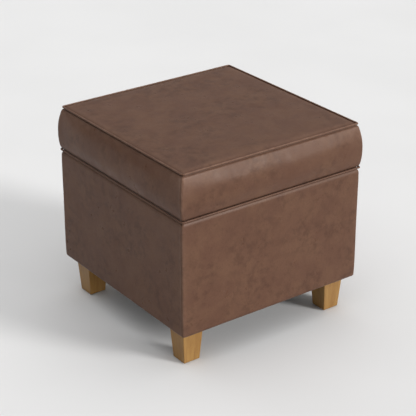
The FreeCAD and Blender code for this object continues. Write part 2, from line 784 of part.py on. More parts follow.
def check_document():
    """Stop if any object failed or any sub-part isn't a sound solid."""
    doc.recompute()
    for thing in doc.Objects:
        if "Invalid" in thing.State or "Error" in thing.State:
            raise RuntimeError(f"{thing.Name} failed: {thing.State}")
    for thing in finished:
        shape = thing.Shape
        if shape.isNull() or not shape.isValid() or not shape.Solids:
            raise RuntimeError(f"{thing.Label} is not a sound solid")


def write_parts():
    """Write each sub-part to its own file."""
    for thing in finished:
        thing.Shape.exportStep(f"parts/{thing.Label}.step")
        box_of = thing.Shape.BoundBox
        print(
            f"{thing.Label:24s} solids {len(thing.Shape.Solids):2d}"
            f"  volume {thing.Shape.Volume / 1000:9.2f} cm3"
            f"  z {box_of.ZMin:7.2f} to {box_of.ZMax:7.2f}"
        )
    print(len(finished), "sub-parts")


mitres = make_wedges()
base_fasteners = make_base_fasteners()
make_carcass(base_fasteners)
make_legs(base_fasteners)
make_base_upholstery(base_fasteners, mitres)
lid_screws, lid_staples = make_lid_fasteners()
make_boxing(lid_staples, mitres)
make_cushion(lid_screws, lid_staples)
make_welts()
make_lid_underside(lid_screws)
check_document()
write_parts()
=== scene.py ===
import math

import bmesh
import bpy
import numpy as np
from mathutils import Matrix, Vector, noise


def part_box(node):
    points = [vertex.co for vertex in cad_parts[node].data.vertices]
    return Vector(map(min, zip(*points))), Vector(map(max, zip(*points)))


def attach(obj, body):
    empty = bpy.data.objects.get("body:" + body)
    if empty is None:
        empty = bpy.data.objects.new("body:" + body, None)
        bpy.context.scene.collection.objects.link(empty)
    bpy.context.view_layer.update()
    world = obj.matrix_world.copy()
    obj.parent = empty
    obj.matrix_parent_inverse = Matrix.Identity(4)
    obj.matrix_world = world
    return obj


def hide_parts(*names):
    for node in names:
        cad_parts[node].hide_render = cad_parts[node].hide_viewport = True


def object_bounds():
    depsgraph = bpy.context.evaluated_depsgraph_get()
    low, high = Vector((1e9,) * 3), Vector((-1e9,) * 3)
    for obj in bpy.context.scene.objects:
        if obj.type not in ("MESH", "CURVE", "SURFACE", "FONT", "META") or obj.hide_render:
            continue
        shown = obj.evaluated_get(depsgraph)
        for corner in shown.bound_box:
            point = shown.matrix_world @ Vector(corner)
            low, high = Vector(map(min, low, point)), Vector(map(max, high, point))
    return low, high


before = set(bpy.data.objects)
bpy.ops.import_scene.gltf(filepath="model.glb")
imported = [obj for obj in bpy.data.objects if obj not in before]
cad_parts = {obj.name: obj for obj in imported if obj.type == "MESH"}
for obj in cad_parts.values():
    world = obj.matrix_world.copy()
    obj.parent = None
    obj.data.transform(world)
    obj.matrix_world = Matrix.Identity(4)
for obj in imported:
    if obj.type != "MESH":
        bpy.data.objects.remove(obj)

cad_low, cad_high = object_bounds()
MM = 0.001

# A storage ottoman: a leather-covered box on four oak legs, and a padded seat that lifts
# off.  Metres, +Z up, front facing -Y.  Nearly every soft piece is a band that runs round
# the Z axis, so it is made from rows of rounded squares, (half width, height, corner radius).


# ---- sizes from the frame

def half_of(node):
    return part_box(node)[1].x


LEATHER = 1.2 * MM
CLOTH = 0.6 * MM
SIDES = ("front", "right", "back", "left")
LEG_CORNERS = ("front_left", "front_right", "back_left", "back_right")

top_welt_low, top_welt_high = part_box("top_welt")
low_welt_low, low_welt_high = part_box("bottom_welt")
cad_welt_radius = (top_welt_high.z - top_welt_low.z) / 2
WELT_RADIUS = 2.15 * MM
top_welt_half = top_welt_high.x - WELT_RADIUS
top_welt_z = top_welt_high.z - WELT_RADIUS
low_welt_half = low_welt_high.x - WELT_RADIUS
low_welt_z = low_welt_low.z + cad_welt_radius
WELT_CORNER = 4.5 * MM

boxing_low, boxing_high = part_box("boxing_front")
base_low, base_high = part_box("base_cover_front")
base_half = -base_low.y
BASE_TALL = (base_high.z - base_low.z) / MM
panel_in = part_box("back_panel")[0].y
return_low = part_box("lining_front")[1].z
seat_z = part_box("lid_top_cover")[1].z


# ---- meshes from rows

def smooth_step(value):
    value = np.clip(value, 0.0, 1.0)
    return value * value * (3 - 2 * value)


def bell(value, width, centre=0.0):
    """A smooth bump of height 1 about a centre."""
    return np.exp(-(((value - centre) / width) ** 2))


def field(points, scale, seed):
    """Smooth noise from -1 to 1 at each point of an (..., 3) array."""
    shape = points.shape[:-1]
    offset = Vector((seed * 7.13, seed * 3.71, seed * 5.39))
    flat = points.reshape(-1, 3) * scale
    values = [noise.noise(Vector(point) + offset) for point in flat]
    return np.array(values).reshape(shape)


NEAR_SEAM = (0.0, 0.5, 1.0, 1.7, 2.7, 4.5, 7.5, 12.0, 18.0)  # mm past the corner's arc
ARC_SHARES = (0.06, 0.13, 0.22, 0.35, 0.5, 0.65, 0.78, 0.87, 0.94)
MIDDLE_STATIONS = 72


class Round:
    """Stations round a square band: flats with close stations beside each corner, and arcs."""

    def __init__(self):
        near = range(len(NEAR_SEAM))
        kinds = [("low", number) for number in near]
        kinds += [("middle", number) for number in range(MIDDLE_STATIONS)]
        kinds += [("high", number) for number in reversed(near)]
        kinds += [("arc", number) for number in range(len(ARC_SHARES))]
        stations = [(side, kind, number) for side in range(4) for kind, number in kinds]
        self.stations = stations
        self.count = len(stations)
        self.per_side = self.count // 4
        self.flats = self.per_side - len(ARC_SHARES)

    def ring(self, half, corner):
        """Points (count, 2) round a rounded square, in turn about +Z from the front's left end."""
        points = np.zeros((self.count, 2))
        flat = half - corner
        reach = flat - NEAR_SEAM[-1] * MM
        for index, (side, kind, number) in enumerate(self.stations):
            if kind == "arc":
                angle = (ARC_SHARES[number] - 1) * math.pi / 2
                x = flat + corner * math.cos(angle)
                y = -flat + corner * math.sin(angle)
            else:
                y = -half
                if kind == "low":
                    x = -flat + NEAR_SEAM[number] * MM
                elif kind == "high":
                    x = flat - NEAR_SEAM[number] * MM
                else:
                    x = -reach + 2 * reach * (number + 1) / (MIDDLE_STATIONS + 1)
            for _ in range(side):
                x, y = -y, x
            points[index] = (x, y)
        return points

    def seams(self):
        """Stations of the four corner seams, on the left and right faces beside the corners."""
        return (
            self.per_side,
            self.per_side + self.flats - 1,
            3 * self.per_side,
            3 * self.per_side + self.flats - 1,
        )


ROUND = Round()


def band(rows):
    """Vertex grid (rows, stations, 3) of a band through (half, height, corner) rows."""
    grid = np.zeros((len(rows), ROUND.count, 3))
    for index, (half, height, corner) in enumerate(rows):
        grid[index, :, :2] = ROUND.ring(half, corner)
        grid[index, :, 2] = height
    return grid


def grid_normals(grid, wrap_rows=False):
    """Outward unit normals of a band's vertex grid, whose rows run upwards outside."""
    around = np.roll(grid, -1, axis=1) - np.roll(grid, 1, axis=1)
    if wrap_rows:
        up = np.roll(grid, -1, axis=0) - np.roll(grid, 1, axis=0)
    else:
        up = np.gradient(grid, axis=0)
    normals = np.cross(around, up)
    length = np.linalg.norm(normals, axis=2, keepdims=True)
    return normals / np.maximum(length, 1e-9)


def running_length(grid):
    """Length along each row up to each station, and each row's whole length."""
    steps = np.linalg.norm(np.roll(grid, -1, axis=1) - grid, axis=2)
    along = np.concatenate([np.zeros((len(grid), 1)), np.cumsum(steps, axis=1)], axis=1)
    return along[:, :-1], along[:, -1:]


def seam_distance(grid):
    """Distance in metres along each row to the nearest corner seam."""
    along, total = running_length(grid)
    nearest = np.full(grid.shape[:2], 9.0)
    for seam in ROUND.seams():
        gap = np.abs(along - along[:, seam : seam + 1])
        gap = np.minimum(gap, total - gap)
        nearest = np.minimum(nearest, gap)
    return nearest


def seam_relief(distance, depth, ridge):
    """Height across a sewn seam: a narrow groove with a soft ridge on each side."""
    return -depth * bell(distance, 0.55 * MM) + ridge * bell(distance, 1.5 * MM, 2.3 * MM)


def corner_distance(grid):
    """Distance from the upright diagonal plane through the nearest corner."""
    return np.abs(np.abs(grid[..., 0]) - np.abs(grid[..., 1])) / math.sqrt(2)


def corner_wear_and_sheen(grid):
    """Lighter along the upright corners: partly wax rubbed there, partly a painted highlight on the corner's
    edge.
    """
    off_corner = corner_distance(grid)
    return 0.6 * bell(off_corner, 2.6 * MM) + 0.4 * np.exp(-off_corner / (7 * MM))


def corner_pleats(grid, start, full):
    """Small fanned folds where leather turns in at a corner, beyond the cloth that covers it."""
    off_corner = corner_distance(grid)
    reach = np.max(np.abs(grid[..., :2]), axis=2)
    shown = smooth_step((reach - start) / (full - start))
    folds = 0.5 + 0.5 * np.cos(2 * math.pi * off_corner / (4.6 * MM))
    return 0.6 * MM * folds * bell(off_corner, 11 * MM) * shown


def make_object(name, verts, faces, **attributes):
    mesh = bpy.data.meshes.new(name)
    mesh.from_pydata([tuple(v) for v in verts], [], faces)
    mesh.update()
    for label, values in attributes.items():
        layer = mesh.attributes.new(label, "FLOAT", "POINT")
        layer.data.foreach_set("value", np.asarray(values, dtype=np.float32).ravel())
    mesh.polygons.foreach_set("use_smooth", [True] * len(mesh.polygons))
    thing = bpy.data.objects.new(name, mesh)
    bpy.context.scene.collection.objects.link(thing)
    return thing


def grid_faces(rows, columns, round_rows=False, round_columns=False):
    """Faces of a grid of vertices, row by row; it may close on itself either way."""
    faces = []
    for row in range(rows if round_rows else rows - 1):
        low, high = row * columns, (row + 1) % rows * columns
        for step in range(columns if round_columns else columns - 1):
            beside = (step + 1) % columns
            faces.append((low + step, low + beside, high + beside, high + step))
    return faces


def band_object(name, grid, stations=None, closed_rows=False, **attributes):
    """A mesh of a band, or of some of its stations; the whole round closes on itself."""
    stations = stations or list(range(ROUND.count))
    faces = grid_faces(len(grid), len(stations), closed_rows, len(stations) == ROUND.count)
    picked = {label: values[:, stations] for label, values in attributes.items()}
    return make_object(name, grid[:, stations].reshape(-1, 3), faces, **picked)


def grid_object(name, grid, **attributes):
    """A mesh of a plain grid of points."""
    return make_object(name, grid.reshape(-1, 3), grid_faces(*grid.shape[:2]), **attributes)


def side_stations(side):
    """Stations of one sewn panel. Front and back wrap the corners; left and right lie between."""
    first_right, last_right, first_left, last_left = ROUND.seams()
    if side == "front":
        return list(range(last_left, ROUND.count)) + list(range(0, first_right + 1))
    if side == "right":
        return list(range(first_right, last_right + 1))
    if side == "back":
        return list(range(last_right, first_left + 1))
    return list(range(first_left, last_left + 1))


def thicken(thing, thickness, offset=-1.0):
    """Give a sheet its thickness, inwards from the surface it was drawn on."""
    solidify = thing.modifiers.new("thickness", "SOLIDIFY")
    solidify.thickness = thickness
    solidify.offset = offset
    solidify.use_even_offset = False


def dress(thing, body, slot_name, material, *nodes):
    """Material, body and the CAD nodes that a finished piece stands for. slot_name is not used."""
    thing.data.materials.clear()
    thing.data.materials.append(material)
    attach(thing, body)
    if nodes:
        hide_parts(*nodes)
    return thing


# ---- materials

class Nodes:
    """Short ways to build a material's node tree."""

    def __init__(self, name):
        self.material = bpy.data.materials.new(name)
        self.material.use_nodes = True
        self.tree = self.material.node_tree
        self.shader = self.tree.nodes["Principled BSDF"]
        self.place = self.add("ShaderNodeTexCoord").outputs["Object"]

    def add(self, kind, inputs=None, **settings):
        node = self.tree.nodes.new(kind)
        for name, value in settings.items():
            setattr(node, name, value)
        for name, value in (inputs or {}).items():
            node.inputs[name].default_value = value
        return node

    def link(self, source, target):
        self.tree.links.new(source, target)

    def scaled(self, x, y, z, turn=(0, 0, 0)):
        mapping = self.add("ShaderNodeMapping", {"Scale": (x, y, z), "Rotation": turn})
        self.link(self.place, mapping.inputs["Vector"])
        return mapping.outputs["Vector"]

    def noise(self, scale, detail=3.0, rough=0.5, distortion=0.0, place=None):
        inputs = {"Scale": scale, "Detail": detail, "Roughness": rough, "Distortion": distortion}
        node = self.add("ShaderNodeTexNoise", inputs)
        self.link(place or self.place, node.inputs["Vector"])
        return node.outputs["Fac"]

    def voronoi(self, scale, feature="F1", place=None, random=1.0):
        node = self.add("ShaderNodeTexVoronoi", {"Scale": scale, "Randomness": random}, feature=feature)
        self.link(place or self.place, node.inputs["Vector"])
        return node.outputs["Distance"]

    def remap(self, source, low, high, to_low=0.0, to_high=1.0):
        inputs = {"From Min": low, "From Max": high, "To Min": to_low, "To Max": to_high}
        node = self.add("ShaderNodeMapRange", inputs, interpolation_type="SMOOTHSTEP")
        self.link(source, node.inputs["Value"])
        return node.outputs["Result"]

    def times(self, first, second):
        node = self.add("ShaderNodeMath", operation="MULTIPLY")
        for socket, value in zip(node.inputs, (first, second)):
            if isinstance(value, (int, float)):
                socket.default_value = value
            else:
                self.link(value, socket)
        return node.outputs["Value"]

    def attribute(self, name):
        return self.add("ShaderNodeAttribute", attribute_name=name).outputs["Fac"]

    def mix(self, factor, first, second):
        node = self.add("ShaderNodeMix", data_type="RGBA")
        colour_sockets = [socket for socket in node.inputs if socket.type == "RGBA"]
        sockets = (node.inputs[0], colour_sockets[0], colour_sockets[1])
        for socket, value in zip(sockets, (factor, first, second)):
            if isinstance(value, (int, float)):
                socket.default_value = value
            elif isinstance(value, tuple):
                socket.default_value = (*value, 1.0)
            else:
                self.link(value, socket)
        return next(socket for socket in node.outputs if socket.type == "RGBA")

    def fix(self, name, value):
        self.shader.inputs[name].default_value = value

    def colour(self, source):
        self.link(source, self.shader.inputs["Base Color"])

    def rough(self, source):
        self.link(source, self.shader.inputs["Roughness"])

    def bump(self, heights):
        """Bump from (height source, strength, distance in metres) one after another."""
        last = None
        for source, strength, distance in heights:
            node = self.add("ShaderNodeBump", {"Strength": strength, "Distance": distance})
            self.link(source, node.inputs["Height"])
            if last is not None:
                self.link(last, node.inputs["Normal"])
            last = node.outputs["Normal"]
        self.link(last, self.shader.inputs["Normal"])


def make_leather():
    """Distressed brown leather: warm patches, clumps of small dark blotches and a satin wax, with painted
    highlights and painted shade laid on through each piece's attributes.
    """
    n = Nodes("leather_brown")
    brown = (0.108, 0.0535, 0.0345)
    tan = (0.125, 0.0645, 0.0400)
    dark = (0.070, 0.0345, 0.0225)
    pale = (0.215, 0.128, 0.092)
    deep = (0.026, 0.013, 0.010)
    patches = n.remap(n.noise(19.0, 5.0, 0.64, 0.2), 0.36, 0.67)
    colour = n.mix(patches, brown, tan)
    clumps = n.remap(n.noise(12.0, 3.0, 0.5, 0.0, n.scaled(1, 1, 1, (0.7, 0.4, 0.9))), 0.36, 0.60)
    blotches = n.remap(n.noise(58.0, 5.0, 0.6, 0.2), 0.42, 0.66)
    colour = n.mix(n.times(n.times(clumps, blotches), 0.58), colour, dark)
    flecks = n.remap(n.noise(230.0, 3.0, 0.6), 0.48, 0.72, 0.0, 0.30)
    colour = n.mix(flecks, colour, dark)
    slanted = n.scaled(1, 1, 0.5, (0.3, 0.2, 0.5))
    scuffs = n.remap(n.noise(170.0, 4.0, 0.65, 0.0, slanted), 0.60, 0.76, 0.0, 0.16)
    colour = n.mix(scuffs, colour, pale)
    # The pale mix below is painted highlight on seam ridges, edges and upward-facing surfaces, and partly
    # rubbed wear at the corners, broken up by noise.
    pale_amount = n.remap(n.noise(60.0, 4.0, 0.7), 0.35, 0.7, 0.35, 1.0)
    colour = n.mix(n.times(n.attribute("rub"), pale_amount), colour, pale)
    # The deep mix is painted shade in grooves, along seams, under the welts and along the base's lower edge.
    colour = n.mix(n.attribute("grime"), colour, deep)
    n.colour(colour)
    n.rough(n.remap(n.noise(30.0, 4.0, 0.65), 0.3, 0.7, 0.27, 0.40))
    n.fix("Specular IOR Level", 0.12)
    n.fix("Specular Tint", (1.0, 0.9, 0.84, 1.0))
    pebbles = n.voronoi(820.0, "SMOOTH_F1")
    creases = n.remap(n.voronoi(150.0, "DISTANCE_TO_EDGE", n.scaled(1, 1, 1.35)), 0.0, 0.09)
    n.bump([
        (creases, 0.10, 0.20 * MM),
        (pebbles, 0.30, 0.16 * MM),
        (n.noise(2600.0, 2.0), 0.12, 0.05 * MM),
    ])
    return n.material


def make_oak():
    """Honey oak under clear lacquer, its grain running up the leg."""
    n = Nodes("oak_honey")
    figure = n.noise(1.0, 4.0, 0.55, 1.2, n.scaled(75, 75, 7))
    colour = n.mix(n.remap(figure, 0.32, 0.68), (0.272, 0.138, 0.0355), (0.340, 0.187, 0.0535))
    bands = n.noise(1.0, 2.0, 0.5, 0.4, n.scaled(230, 230, 5))
    colour = n.mix(n.remap(bands, 0.55, 0.75, 0.0, 0.45), colour, (0.190, 0.088, 0.024))
    pores = n.noise(1.0, 2.0, 0.6, 0.0, n.scaled(1500, 1500, 60))
    pore_lines = n.remap(pores, 0.58, 0.72)
    colour = n.mix(n.times(pore_lines, 0.55), colour, (0.130, 0.060, 0.020))
    n.colour(colour)
    n.rough(n.remap(figure, 0.3, 0.7, 0.34, 0.46))
    n.fix("Specular IOR Level", 0.3)
    n.fix("Coat Weight", 0.1)
    n.fix("Coat Roughness", 0.22)
    n.bump([(pore_lines, 0.35, -0.12 * MM), (bands, 0.15, 0.10 * MM)])
    return n.material


def make_timber(name, light, dark, stretch, waves, rough, relief):
    """Unfinished wood or veneer, its figure stretched along the grain."""
    n = Nodes(name)
    figure = n.noise(1.0, 4.0, 0.6, waves, n.scaled(*stretch))
    n.colour(n.mix(n.remap(figure, 0.3, 0.7), light, dark))
    n.rough(n.remap(figure, 0.3, 0.7, *rough))
    n.bump([(figure, *relief)])
    return n.material


def make_cloth(name, light, dark, threads, bump):
    """A thin non-woven cloth with a fine embossed dot grid."""
    n = Nodes(name)
    dots = n.remap(n.voronoi(threads, "F1", random=0.15), 0.15, 0.42)
    fibres = n.noise(threads * 1.9, 3.0, 0.7)
    colour = n.mix(n.times(dots, fibres), dark, light)
    n.colour(colour)
    n.rough(n.remap(fibres, 0.3, 0.7, 0.78, 0.92))
    n.fix("Specular IOR Level", 0.3)
    n.bump([(dots, bump, 0.15 * MM), (fibres, 0.2, 0.08 * MM)])
    return n.material


def make_fluff(name, light, dark):
    """Wadding or foam."""
    n = Nodes(name)
    cells = n.noise(420.0, 4.0, 0.7)
    n.colour(n.mix(n.remap(cells, 0.3, 0.7), dark, light))
    n.rough(n.remap(cells, 0.3, 0.7, 0.85, 0.95))
    n.bump([(cells, 0.4, 0.4 * MM)])
    return n.material


def make_steel():
    """Zinc-plated steel."""
    n = Nodes("zinc_steel")
    spangle = n.voronoi(260.0)
    n.colour(n.mix(n.remap(spangle, 0.1, 0.6), (0.48, 0.48, 0.47), (0.62, 0.62, 0.60)))
    n.fix("Metallic", 1.0)
    n.rough(n.remap(n.noise(300.0), 0.3, 0.7, 0.30, 0.45))
    n.bump([(n.noise(900.0), 0.1, 0.05 * MM)])
    return n.material


def make_nylon():
    """Moulded dark nylon."""
    n = Nodes("nylon_brown")
    speckle = n.noise(700.0, 2.0)
    n.colour(n.mix(n.remap(speckle, 0.3, 0.7), (0.075, 0.058, 0.045), (0.095, 0.075, 0.058)))
    n.rough(n.remap(speckle, 0.3, 0.7, 0.5, 0.62))
    n.bump([(speckle, 0.15, 0.05 * MM)])
    return n.material


LEATHER_MATERIAL = make_leather()
OAK = make_oak()
PLY = make_timber(
    "plywood", (0.56, 0.40, 0.23), (0.42, 0.27, 0.14), (22, 22, 5), 1.6, (0.6, 0.75), (0.25, 0.10 * MM)
)
PINE = make_timber(
    "pine", (0.66, 0.47, 0.27), (0.52, 0.33, 0.16), (9, 120, 120), 1.5, (0.62, 0.78), (0.3, 0.12 * MM)
)
LINING_CLOTH = make_cloth("lining_cloth", (0.050, 0.043, 0.038), (0.022, 0.019, 0.018), 620.0, 0.5)
DUST_CLOTH = make_cloth("dust_cloth", (0.030, 0.029, 0.028), (0.012, 0.012, 0.012), 480.0, 0.6)
WADDING = make_fluff("wadding", (0.82, 0.82, 0.80), (0.70, 0.70, 0.68))
FOAM = make_fluff("foam", (0.80, 0.74, 0.50), (0.70, 0.62, 0.38))
CORD = make_fluff("cotton_cord", (0.76, 0.73, 0.66), (0.60, 0.56, 0.50))
STEEL = make_steel()
NYLON = make_nylon()


# ---- cloth simulation

SIM_FRAMES = 20
CLOTH_FEEL = {
    "quality": 6, "mass": 0.35, "tension_stiffness": 40, "compression_stiffness": 40, "shear_stiffness": 20,
    "bending_stiffness": 2.0, "tension_damping": 15, "compression_damping": 15, "air_damping": 4,
}


def simulate(name, verts, faces, pins, pressure, slack):
    """Inflate a leather sheet with Cloth and return where its vertices come to rest."""
    sheet = make_object(name, verts, faces)
    group = sheet.vertex_groups.new(name="pin")
    for index, weight in enumerate(pins):
        if weight > 0:
            group.add([index], float(weight), "REPLACE")
    cloth = sheet.modifiers.new("cloth", "CLOTH")
    settings = cloth.settings
    for label, value in CLOTH_FEEL.items():
        setattr(settings, label, value)
    settings.vertex_group_mass = "pin"
    settings.shrink_min = -slack
    settings.use_pressure = True
    settings.uniform_pressure_force = pressure
    settings.effector_weights.gravity = 0.0
    cloth.collision_settings.use_collision = False
    cloth.collision_settings.use_self_collision = False
    cloth.point_cache.frame_start = 1
    cloth.point_cache.frame_end = SIM_FRAMES
    scene = bpy.context.scene
    for number in range(1, SIM_FRAMES + 1):
        scene.frame_set(number)
    graph = bpy.context.evaluated_depsgraph_get()
    result = sheet.evaluated_get(graph).to_mesh()
    moved = np.zeros(len(result.vertices) * 3)
    result.vertices.foreach_get("co", moved)
    sheet.evaluated_get(graph).to_mesh_clear()
    scene.frame_set(1)
    bpy.data.objects.remove(sheet)
    return moved.reshape(-1, 3)


def eased(values, reach, keep, wrap):
    """Even out simulated buckles: a wide running mean, with a share of the detail kept."""
    kernel = np.hanning(2 * reach + 3)[1:-1]
    kernel /= kernel.sum()
    padded = np.pad(values, ((0, 0), (reach, reach)), mode="wrap" if wrap else "edge")
    smooth = np.array([np.convolve(row, kernel, mode="valid") for row in padded])
    return smooth + keep * (values - smooth)


def bilinear(values, rows, columns, wrap):
    """Sample a grid of values at fractional row and column positions."""
    last_row = values.shape[0] - 1
    width = values.shape[1]
    low_row = np.clip(np.floor(rows).astype(int), 0, last_row - 1)
    row_share = np.clip(rows - low_row, 0, 1)
    low_column = np.floor(columns).astype(int)
    column_share = columns - low_column
    if wrap:
        low_column = low_column % width
        high_column = (low_column + 1) % width
    else:
        low_column = np.clip(low_column, 0, width - 2)
        column_share = np.clip(columns - low_column, 0, 1)
        high_column = low_column + 1
    low = values[low_row, low_column] * (1 - column_share) + values[low_row, high_column] * column_share
    high_row = low_row + 1
    high = values[high_row, low_column] * (1 - column_share) + values[high_row, high_column] * column_share
    return low * (1 - row_share) + high * row_share


# ---- lid: boxing

BOXING_CORNER = 4.2 * MM
BARREL_LOW = (236.2 * MM, low_welt_z + 2.7 * MM)
BARREL_HIGH = (231.6 * MM, boxing_high.z - 0.7 * MM)
BARREL_BULGE = 7.3 * MM
LOW_TUCK = 0.9 * MM
HIGH_TUCK = 1.0 * MM
MIDDLE_FULLNESS = 3.2 * MM
BOXING_TALL = 95  # mm of leather from seam to seam, for the bands of painted shade and painted highlight along them
CUSHION_CAP = 2.5 * MM


def barrel_row(share, bulge):
    """Half width and height on the boxing's barrel, from its lower seam (0) to its upper (1)."""
    low_half, low_z = BARREL_LOW
    high_half, high_z = BARREL_HIGH
    fade = min(max((share - 0.3) / 0.4, 0.0), 1.0)
    power = 0.5 + 0.1 * fade * fade * (3 - 2 * fade) - 0.9 * max(share - 0.8, 0.0)
    full = math.sin(math.pi * share) ** power if 0 < share < 1 else 0.0
    tuck = LOW_TUCK * math.exp(-share / 0.018) + HIGH_TUCK * math.exp(-(1 - share) / 0.022)
    half = low_half + (high_half - low_half) * share + bulge * full - tuck
    return half, low_z + (high_z - low_z) * share, BOXING_CORNER


def even_ring(half, corner, count):
    """Evenly spaced points round a rounded square, from the front face's left end of its flat."""
    flat = 2 * (half - corner)
    arc = corner * math.pi / 2
    side_length = flat + arc
    points = np.zeros((count, 2))
    for index in range(count):
        side, along = divmod(index / count * 4 * side_length, side_length)
        if along <= flat:
            x, y = -flat / 2 + along, -half
        else:
            angle = (along - flat) / corner - math.pi / 2
            x = flat / 2 + corner * math.cos(angle)
            y = -flat / 2 + corner * math.sin(angle)
        for _ in range(int(side) % 4):
            x, y = -y, x
        points[index] = (x, y)
    return points


def boxing_swell():
    """How far the simulated boxing swells along its normal, on an even grid of rows and stations."""
    rows, count = 22, 384
    grid = np.zeros((rows, count, 3))
    for row in range(rows):
        half, height, corner = barrel_row(row / (rows - 1), BARREL_BULGE)
        grid[row, :, :2] = even_ring(half, corner, count)
        grid[row, :, 2] = height
    faces = grid_faces(rows, count, round_columns=True)
    pins = np.zeros((rows, count))
    pins[0] = pins[-1] = 1.0
    for corner_index in range(4):
        seam = round((corner_index + 1) * count / 4) % count
        for near in (-1, 0, 1):
            pins[:, (seam + near) % count] = np.maximum(pins[:, (seam + near) % count], 0.85)
    moved = simulate("boxing_cloth", grid.reshape(-1, 3), faces, pins.ravel(), 3.0, 0.004)
    shift = moved.reshape(grid.shape) - grid
    swell = (shift * grid_normals(grid)).sum(axis=2)
    return eased(np.clip(swell, -0.3 * MM, CUSHION_CAP), 24, 0.22, True)


def make_boxing():
    """The leather strip round the cushion, with its corner seams, turned in above and below."""
    swell = boxing_swell()
    wall = 234.1 * MM
    turned = boxing_low.z
    rows = [
        (207 * MM, turned, 4 * MM),
        (216 * MM, turned, 4.5 * MM),
        (226 * MM, turned, 5 * MM),
        (231 * MM, turned, 5.5 * MM),
        (wall - 1.0 * MM, turned + 0.2 * MM, BOXING_CORNER),
        (wall - 0.3 * MM, turned + 0.7 * MM, BOXING_CORNER),
        (wall, turned + 1.6 * MM, BOXING_CORNER),
        (wall, turned + 3.6 * MM, BOXING_CORNER),
        (wall + 0.2 * MM, turned + 5.2 * MM, BOXING_CORNER),
        (wall + 1.0 * MM, turned + 6.2 * MM, BOXING_CORNER),
    ]
    first_barrel = len(rows)
    barrel_rows = 30
    shares = [(1 - math.cos(math.pi * number / (barrel_rows - 1))) / 2 for number in range(barrel_rows)]
    rows += [barrel_row(share, BARREL_BULGE) for share in shares]
    last_barrel = len(rows) - 1
    rows += [
        (BARREL_HIGH[0] - HIGH_TUCK - 0.5 * MM, BARREL_HIGH[1] + 1.2 * MM, BOXING_CORNER),
        (BARREL_HIGH[0] - HIGH_TUCK - 0.9 * MM, BARREL_HIGH[1] + 3.2 * MM, BOXING_CORNER),
    ]
    grid = band(rows)
    normals = grid_normals(grid)
    distance = seam_distance(grid)

    share = np.zeros(len(rows))
    share[first_barrel : last_barrel + 1] = shares
    share[last_barrel + 1 :] = 1.0
    on_barrel = np.zeros(len(rows))
    on_barrel[first_barrel : last_barrel + 1] = 1.0
    along, total = running_length(grid)
    column = along / total * swell.shape[1]
    row_place = np.repeat((share * (swell.shape[0] - 1))[:, None], ROUND.count, axis=1)
    height = bilinear(swell, row_place, column, True) * on_barrel[:, None]

    edge = np.minimum(share, 1 - share) * (BARREL_HIGH[1] - BARREL_LOW[1])
    edge = np.where(on_barrel > 0, edge, 0.0)[:, None]
    slow = field(grid, 14.0, 1) * 0.55 * MM + field(grid, 38.0, 2) * 0.22 * MM
    height += slow * smooth_step(edge / (16 * MM)) * on_barrel[:, None]
    face = np.min(np.abs(grid[..., :2]), axis=2) / BARREL_LOW[0]
    height += MIDDLE_FULLNESS * (1 - face**2) * np.sin(np.pi * share)[:, None] * on_barrel[:, None]
    pucker = field(grid * np.array([1.0, 1.0, 0.25]), 120.0, 3)
    height += pucker * 0.28 * MM * np.exp(-edge / (6 * MM)) * smooth_step(edge / (1.5 * MM))
    relief = seam_relief(distance, 0.28 * MM, 0.30 * MM)
    height += relief * np.clip(on_barrel, 0.4, 1)[:, None]
    seam_pucker = field(grid * np.array([0.2, 0.2, 1.0]), 170.0, 4)
    height += seam_pucker * 0.22 * MM * np.exp(-distance / (7 * MM)) * on_barrel[:, None]
    turned_in = np.array([row[1] < boxing_low.z + 0.5 * MM for row in rows])
    height += np.where(turned_in[:, None], corner_pleats(grid, 226 * MM, 232 * MM), 0.0)
    grid = grid + normals * height[:, :, None]

    # Painted shade: a dark line in each corner seam's groove, a strong band along the lower seam above the
    # bottom welt and a faint one below the top welt.
    groove = bell(distance, 0.8 * MM)
    lip = bell(distance, 1.3 * MM, 2.4 * MM)
    seam_shade = 0.62 * np.exp(-(share * BOXING_TALL) / 2.0)
    seam_shade += 0.05 * np.exp(-((1 - share) * BOXING_TALL) / 1.2)
    grime = np.clip(groove * 0.06 + seam_shade[:, None], 0, 0.95)
    # Painted highlight: the ridges beside the corner seams, a band along the top edge and a broad sheen over
    # the upper half near the corners; the corner term also adds rubbed wear.
    top_edge = np.exp(-((1 - share) * BOXING_TALL) / 9) * on_barrel
    upper_half = smooth_step(share * 2.2 - 1.0)[:, None] * on_barrel[:, None]
    painted_corner_sheen = 0.42 * np.exp(-corner_distance(grid) / (45 * MM)) * upper_half
    rub = np.clip(lip * 0.30 + corner_wear_and_sheen(grid) * 0.42 + 0.24 * top_edge[:, None] + painted_corner_sheen, 0, 1)
    for side in SIDES:
        piece = band_object(f"boxing_{side}_leather", grid, side_stations(side), rub=rub, grime=grime)
        thicken(piece, LEATHER)
        dress(piece, "lid", "leather", LEATHER_MATERIAL, f"boxing_{side}")


# ---- lid: top panel

PANEL_HALF = top_welt_half - 2.2 * MM
PANEL_CORNER = 7 * MM
PANEL_SEAM_Z = top_welt_z - 1.3 * MM
PANEL_ROLL = 15 * MM
ROLL_POWER = 1.65
PANEL_RISE = 0.8 * MM
EDGE_STEPS = (0.0, 0.8, 1.7, 2.8, 4.2, 6.0, 8.5, 12.0, 16.5, 22.0)  # mm in from the seam
PAD_STEPS = (4, 6, 9, 13, 18, 26, 40, 70, 110, 160)


def side_curve(along, half, corner):
    """Points on the lower side of a rounded square, its corners shared between two sides."""
    flat = half - corner
    past = np.clip(np.abs(along) - flat, 0, corner)
    angle = past / corner * math.pi / 4
    inside = np.abs(along) <= flat
    x = np.where(inside, along, np.sign(along) * (flat + corner * np.sin(angle)))
    y = np.where(inside, -half, -(flat + corner * np.cos(angle)))
    return np.stack([x, y], axis=-1)


